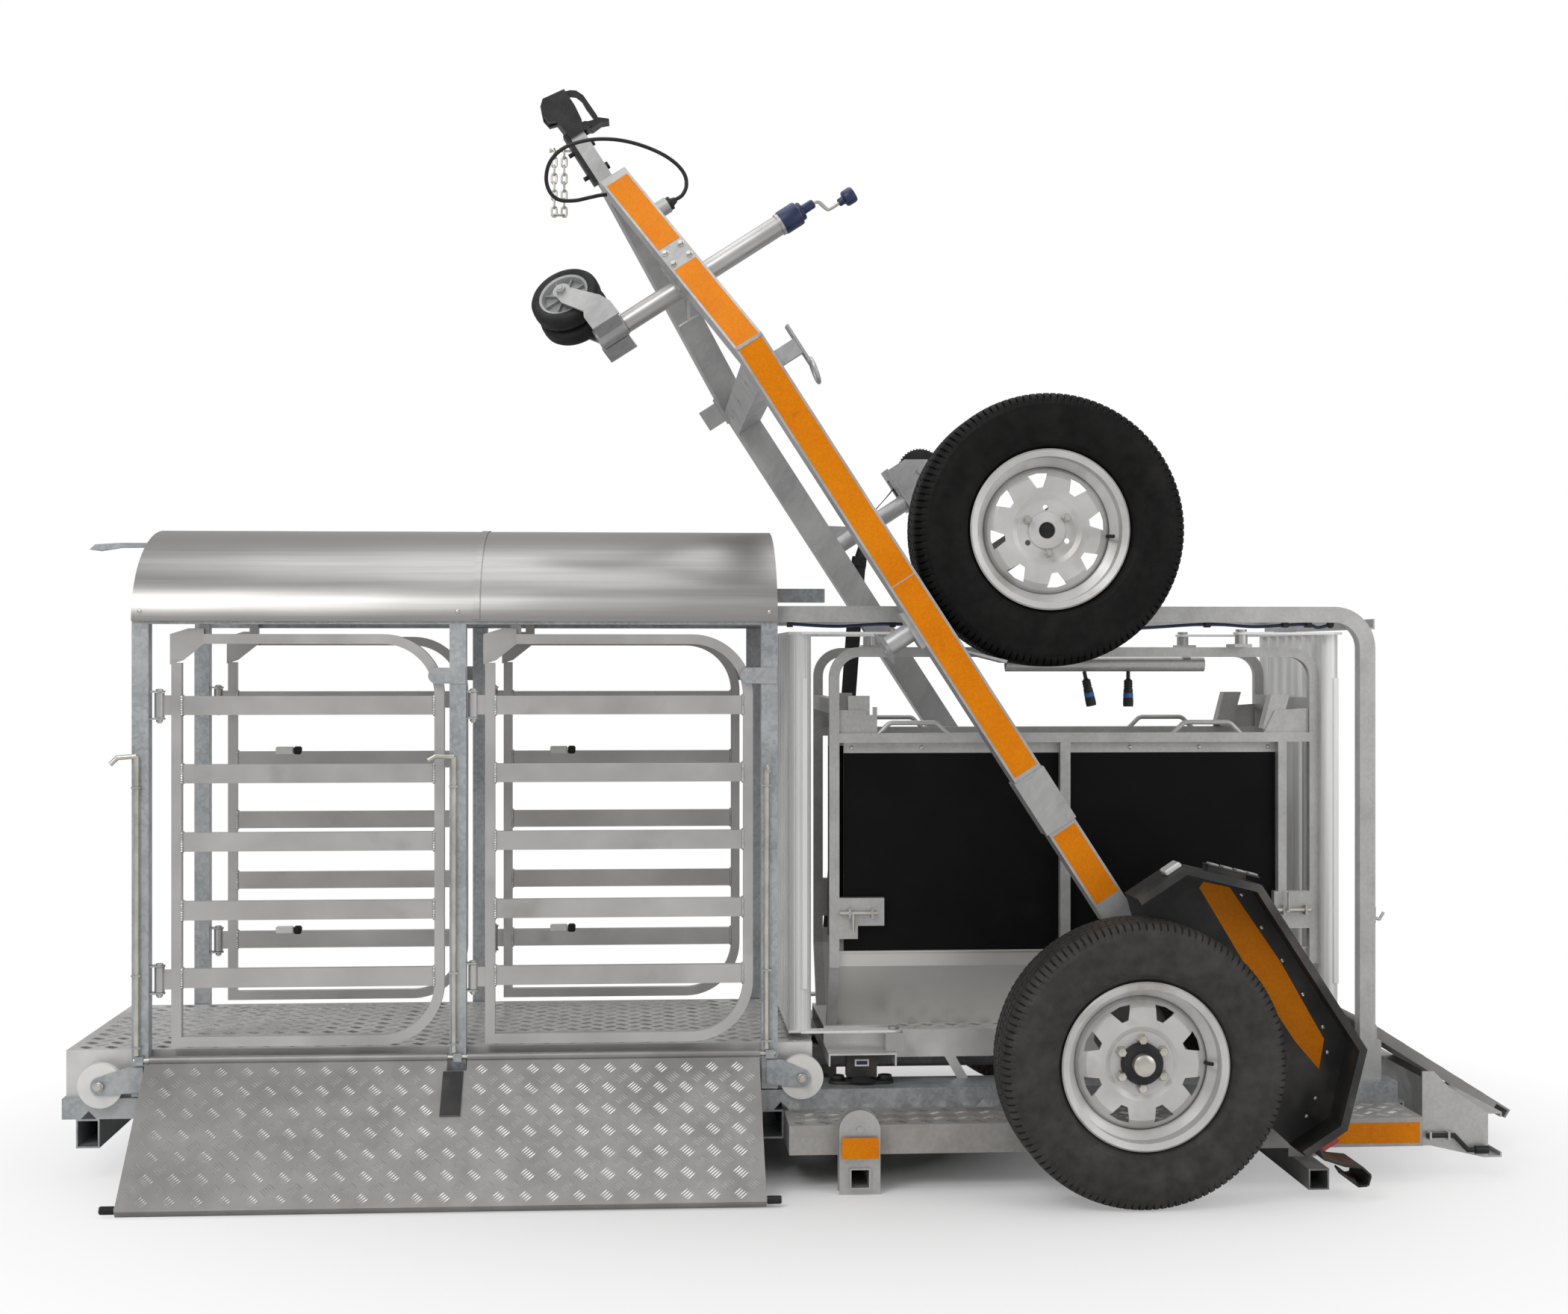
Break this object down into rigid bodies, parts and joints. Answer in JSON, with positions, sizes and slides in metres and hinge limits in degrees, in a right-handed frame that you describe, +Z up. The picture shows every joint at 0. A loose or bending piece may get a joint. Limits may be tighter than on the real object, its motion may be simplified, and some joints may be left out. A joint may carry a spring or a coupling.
{
  "type": "sheep drafting crate",
  "caption": "Trailer-mounted sheep weigh crate with a roofed drafting bay, side gates and ramps, entry ramp, and a raised wheeled drawbar carriage with winch and spare",
  "frame": {"origin": "On the ground, under the middle of the overall box", "axes": "+X from the drafting bay to the entry ramp, +Y from the near side to the far side, +Z up"},
  "size_m": [3.6562, 1.666, 2.7617],
  "materials": {
    "black": "matt black",
    "blackmetal": "black paint",
    "blue": "navy",
    "bright": "bright rolled sheet and bar",
    "fabric": "woven webbing",
    "nylon": "natural nylon",
    "rim": "silver paint",
    "rubber": "matt",
    "steel": "galvanised, mottled",
    "tyre": "matt",
    "zinc": "zinc plated"
  },
  "bodies": {
    "base": {"base_rails": "steel", "cross_beams": "steel", "side_steps": "steel", "leg_brackets": "steel", "entry_frame": "steel", "draft_floor": "bright", "load_cells": "blackmetal", "crate_floor": "steel", "crate_frames": "steel", "side_panels": "blackmetal", "lower_sheets": "steel", "lift_hooks": "steel", "outer_arches": "steel", "sensor_cable": "blue", "door_pivots": "bright", "lift_strap": "fabric"},
    "entry_ramp": {"entry_ramp": "bright"},
    "ramp_lever": {"ramp_lever": "steel"},
    "exit_door_near": {"exit_door_near": "bright"},
    "exit_door_far": {"exit_door_far": "bright"},
    "entry_door_near": {"entry_door_near": "bright"},
    "entry_door_far": {"entry_door_far": "bright"},
    "slide_bolt_left": {"slide_bolt_left": "zinc"},
    "slide_bolt_right": {"slide_bolt_right": "zinc"},
    "module": {"module_posts": "steel", "module_rails": "steel", "canopy": "bright", "hinge_pins": "zinc", "roller_forks": "steel"},
    "gate_left_near": {"gate_left_near": "bright"},
    "gate_right_near": {"gate_right_near": "bright"},
    "gate_left_far": {"gate_left_far": "bright"},
    "gate_right_far": {"gate_right_far": "bright"},
    "near_ramp": {"near_ramp": "bright"},
    "far_ramp": {"far_ramp": "bright"},
    "rollers_left": {"rollers_left": "nylon"},
    "rollers_right": {"rollers_right": "nylon"},
    "drop_rod_left": {"drop_rod_left": "zinc"},
    "drop_rod_middle": {"drop_rod_middle": "zinc"},
    "drop_rod_right": {"drop_rod_right": "zinc"},
    "carriage": {"drawbar_frame": "steel", "mudguards": "blackmetal", "coupling_body": "blackmetal", "safety_chain": "zinc", "trailer_cable": "black", "trailer_plug": "black", "jockey_tube": "bright", "winch_frame": "steel", "spare_rim": "rim", "spare_tyre": "tyre"},
    "coupling_handle": {"coupling_handle": "blackmetal"},
    "jockey_shaft": {"jockey_shaft": "steel"},
    "jockey_wheels": {"jockey_wheels": "rubber"},
    "jockey_crank": {"jockey_crank": "blue"},
    "winch_drum": {"winch_drum": "steel"},
    "winch_handle": {"winch_handle": "steel"},
    "near_wheel": {"near_rim": "rim", "near_tyre": "tyre"},
    "far_wheel": {"far_rim": "rim", "far_tyre": "tyre"}
  },
  "joints": [
    {"name": "module_slide", "type": "slide", "parent": "base", "child": "module", "axis": [1, 0, 0], "range_m": [0, 0.06]},
    {"name": "carriage_tilt", "type": "hinge", "parent": "base", "child": "carriage", "pos_m": [0.729, 0, 0.333], "axis": [0, -1, 0], "range_deg": [0, 12], "deforming": ["lift_strap"]},
    {"name": "entry_ramp_hinge", "type": "hinge", "parent": "base", "child": "entry_ramp", "pos_m": [1.456, 0, 0.316], "axis": [0, -1, 0], "range_deg": [0, 120]},
    {"name": "ramp_lever_turn", "type": "hinge", "parent": "base", "child": "ramp_lever", "pos_m": [1.504, -0.57, 0.112], "axis": [-1, 0, 0], "range_deg": [0, 90]},
    {"name": "exit_door_near_hinge", "type": "hinge", "parent": "base", "child": "exit_door_near", "pos_m": [0.205, -0.3, 0.34], "axis": [0, 0, -1], "range_deg": [-38, 0]},
    {"name": "exit_door_far_hinge", "type": "hinge", "parent": "base", "child": "exit_door_far", "pos_m": [0.205, 0.3, 0.34], "axis": [0, 0, 1], "range_deg": [-38, 0]},
    {"name": "entry_door_near_hinge", "type": "hinge", "parent": "base", "child": "entry_door_near", "pos_m": [1.093, -0.3, 0.34], "axis": [0, 0, 1], "range_deg": [-22, 0]},
    {"name": "entry_door_far_hinge", "type": "hinge", "parent": "base", "child": "entry_door_far", "pos_m": [1.093, 0.3, 0.34], "axis": [0, 0, -1], "range_deg": [-22, 0]},
    {"name": "slide_bolt_left_travel", "type": "slide", "parent": "base", "child": "slide_bolt_left", "axis": [1, 0, 0], "range_m": [0, 0.034]},
    {"name": "slide_bolt_right_travel", "type": "slide", "parent": "base", "child": "slide_bolt_right", "axis": [1, 0, 0], "range_m": [0, 0.022]},
    {"name": "gate_left_near_hinge", "type": "hinge", "parent": "module", "child": "gate_left_near", "pos_m": [-1.595, -0.372, 0.825], "axis": [0, 0, 1], "range_deg": [0, 60]},
    {"name": "gate_left_far_hinge", "type": "hinge", "parent": "module", "child": "gate_left_far", "pos_m": [-1.595, 0.372, 0.825], "axis": [0, 0, 1], "range_deg": [-60, 0]},
    {"name": "gate_right_near_hinge", "type": "hinge", "parent": "module", "child": "gate_right_near", "pos_m": [-0.839, -0.372, 0.825], "axis": [0, 0, 1], "range_deg": [0, 60]},
    {"name": "gate_right_far_hinge", "type": "hinge", "parent": "module", "child": "gate_right_far", "pos_m": [-0.839, 0.372, 0.825], "axis": [0, 0, 1], "range_deg": [-60, 0]},
    {"name": "near_ramp_hinge", "type": "hinge", "parent": "module", "child": "near_ramp", "pos_m": [-0.875, -0.398, 0.3], "axis": [-1, 0, 0], "range_deg": [0, 100]},
    {"name": "far_ramp_hinge", "type": "hinge", "parent": "module", "child": "far_ramp", "pos_m": [-0.875, 0.398, 0.3], "axis": [1, 0, 0], "range_deg": [0, 100]},
    {"name": "rollers_left_spin", "type": "hinge", "parent": "module", "child": "rollers_left", "pos_m": [-1.732, 0, 0.239], "axis": [0, 1, 0], "continuous": true},
    {"name": "rollers_right_spin", "type": "hinge", "parent": "module", "child": "rollers_right", "pos_m": [-0.034, 0, 0.239], "axis": [0, 1, 0], "continuous": true},
    {"name": "drop_rod_left_lift", "type": "slide", "parent": "module", "child": "drop_rod_left", "axis": [0, 0, 1], "range_m": [0, 0.06]},
    {"name": "drop_rod_middle_lift", "type": "slide", "parent": "module", "child": "drop_rod_middle", "axis": [0, 0, 1], "range_m": [0, 0.06]},
    {"name": "drop_rod_right_lift", "type": "slide", "parent": "module", "child": "drop_rod_right", "axis": [0, 0, 1], "range_m": [0, 0.06]},
    {"name": "coupling_handle_lift", "type": "hinge", "parent": "carriage", "child": "coupling_handle", "pos_m": [-0.5679, 0, 2.66605], "axis": [0, 1, 0], "range_deg": [0, 45]},
    {"name": "jockey_shaft_travel", "type": "slide", "parent": "carriage", "child": "jockey_shaft", "axis": [-0.8387, 0, -0.5446], "range_m": [0, 0.1]},
    {"name": "jockey_wheels_spin", "type": "hinge", "parent": "jockey_shaft", "child": "jockey_wheels", "pos_m": [-0.60919, -0.11751, 2.17513], "axis": [0.3573, 0.7547, -0.5502], "continuous": true},
    {"name": "jockey_crank_turn", "type": "hinge", "parent": "carriage", "child": "jockey_crank", "pos_m": [-0.02935, -0.2251, 2.4041], "axis": [-0.8387, 0, -0.5446], "range_deg": [0, 7200]},
    {"name": "winch_drum_turn", "type": "hinge", "parent": "carriage", "child": "winch_drum", "pos_m": [0.38519, 0.6145, 1.81719], "axis": [0, 1, 0], "continuous": true},
    {"name": "winch_handle_turn", "type": "hinge", "parent": "carriage", "child": "winch_handle", "pos_m": [0.38231, 0.6145, 1.73474], "axis": [0, 1, 0], "continuous": true},
    {"name": "near_wheel_spin", "type": "hinge", "parent": "carriage", "child": "near_wheel", "pos_m": [0.729, 0, 0.333], "axis": [0, 1, 0], "continuous": true},
    {"name": "far_wheel_spin", "type": "hinge", "parent": "carriage", "child": "far_wheel", "pos_m": [0.729, 0, 0.333], "axis": [0, 1, 0], "continuous": true}
  ],
  "couplings": [
    {"joint": "exit_door_far_hinge", "follows": "exit_door_near_hinge", "ratio": 1},
    {"joint": "entry_door_far_hinge", "follows": "entry_door_near_hinge", "ratio": 1},
    {"joint": "winch_handle_turn", "follows": "winch_drum_turn", "ratio": -4},
    {"joint": "jockey_crank_turn", "follows": "jockey_shaft_travel", "rad_per_m": 1256.6}
  ]
}
